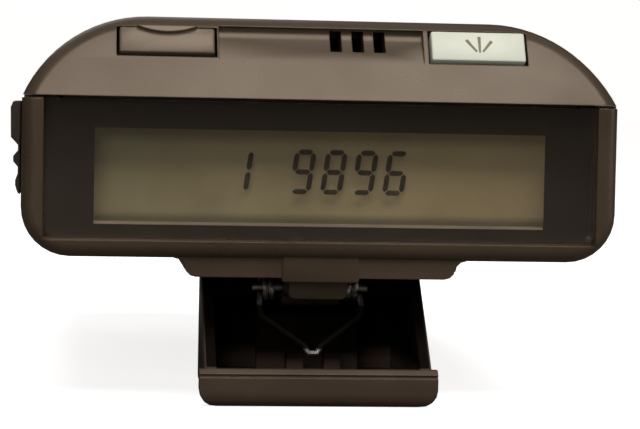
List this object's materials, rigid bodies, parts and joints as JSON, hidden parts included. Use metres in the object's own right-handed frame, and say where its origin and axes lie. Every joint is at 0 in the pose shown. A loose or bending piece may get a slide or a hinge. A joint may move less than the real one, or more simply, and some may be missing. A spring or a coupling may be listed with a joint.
{
  "type": "pager",
  "caption": "Pocket pager with a narrow display window on its end edge, push keys on the sloping brow above it, a side slide switch, a rear battery bay and a sprung belt clip.",
  "frame": {"origin": "point on the flat outer face of the belt clip, below the middle of the body", "axes": "+X along the display from the slide-switch side, +Y from the display end to the battery end, +Z from the belt clip up to the large front face"},
  "size_m": [0.0551, 0.078, 0.0351],
  "materials": {
    "shell_plastic": "fine satin texture, dark brown",
    "clip_plastic": "satin moulded, dark brown",
    "smoked_window": "polished smoked acrylic with a printed dark border",
    "display_glass": "polarised display glass, olive grey",
    "reflector": "silvered film",
    "dark_plastic": "plain moulded",
    "key_brown": "satin moulded",
    "key_white": "smooth, off-white",
    "knob_black": "ribbed, moulded",
    "steel": "bright drawn steel",
    "board": "solder-masked glass laminate",
    "chip_black": "moulded epoxy",
    "flex_amber": "polyimide film",
    "copper": "bare copper strip",
    "rubber": "soft black rubber",
    "tungsten": "sintered tungsten, dull grey",
    "cell_jacket": "printed sleeve, plain blue grey",
    "cream_plastic": "plain moulded"
  },
  "bodies": {
    "case": {"upper_housing": "shell_plastic", "lower_housing": "shell_plastic", "display_lens": "smoked_window", "lcd_front_glass": "display_glass", "lcd_rear_glass": "display_glass", "lcd_reflector": "reflector", "lcd_holder": "dark_plastic", "lcd_flex_cable": "flex_amber", "function_tact_switch": "chip_black", "read_tact_switch": "chip_black", "key_board": "board", "main_board": "board", "receiver_board": "board", "board_connector": "chip_black", "controller_chip": "chip_black", "decoder_chip": "chip_black", "crystal_can": "steel", "shield_can": "steel", "loop_antenna": "copper", "sounder": "chip_black", "sounder_seal": "rubber", "vibrator_motor": "steel", "vibrator_cradle": "rubber", "side_switch_body": "steel", "battery_cell": "cell_jacket", "negative_contact_spring": "steel", "positive_contact_leaf": "steel", "housing_screw_1": "steel", "housing_screw_2": "steel", "housing_screw_3": "steel", "housing_screw_4": "steel"},
    "function_key": {"function_button": "key_brown", "function_plunger": "cream_plastic"},
    "read_key": {"read_button": "key_white", "read_plunger": "cream_plastic"},
    "side_switch": {"side_switch_knob": "knob_black", "side_switch_slider": "cream_plastic"},
    "clip": {"belt_clip": "clip_plastic", "clip_pin": "steel", "clip_spring": "steel"},
    "door": {"battery_door": "shell_plastic"},
    "vibrator_rotor": {"vibrator_shaft": "steel", "vibrator_weight": "tungsten"}
  },
  "joints": [
    {"name": "function_key_press", "type": "slide", "parent": "case", "child": "function_key", "axis": [0, 0.866, -0.5], "range_m": [0, 0.0005]},
    {"name": "read_key_press", "type": "slide", "parent": "case", "child": "read_key", "axis": [0, 0.866, -0.5], "range_m": [0, 0.0005]},
    {"name": "side_switch_slide", "type": "slide", "parent": "case", "child": "side_switch", "axis": [0, 0, 1], "range_m": [-0.0013, 0.0013]},
    {"name": "clip_swing", "type": "hinge", "parent": "case", "child": "clip", "pos_m": [0, -0.028, 0.0101], "axis": [-1, 0, 0], "range_deg": [0, 20], "stiffness_Nm_per_rad": 0.05, "springref_deg": -20.05},
    {"name": "battery_door_slide", "type": "slide", "parent": "case", "child": "door", "axis": [0, 1, 0], "range_m": [0, 0.014]},
    {"name": "vibrator_spin", "type": "hinge", "parent": "case", "child": "vibrator_rotor", "pos_m": [-0.012, -0.003, 0.02225], "axis": [0, 1, 0], "continuous": true}
  ]
}
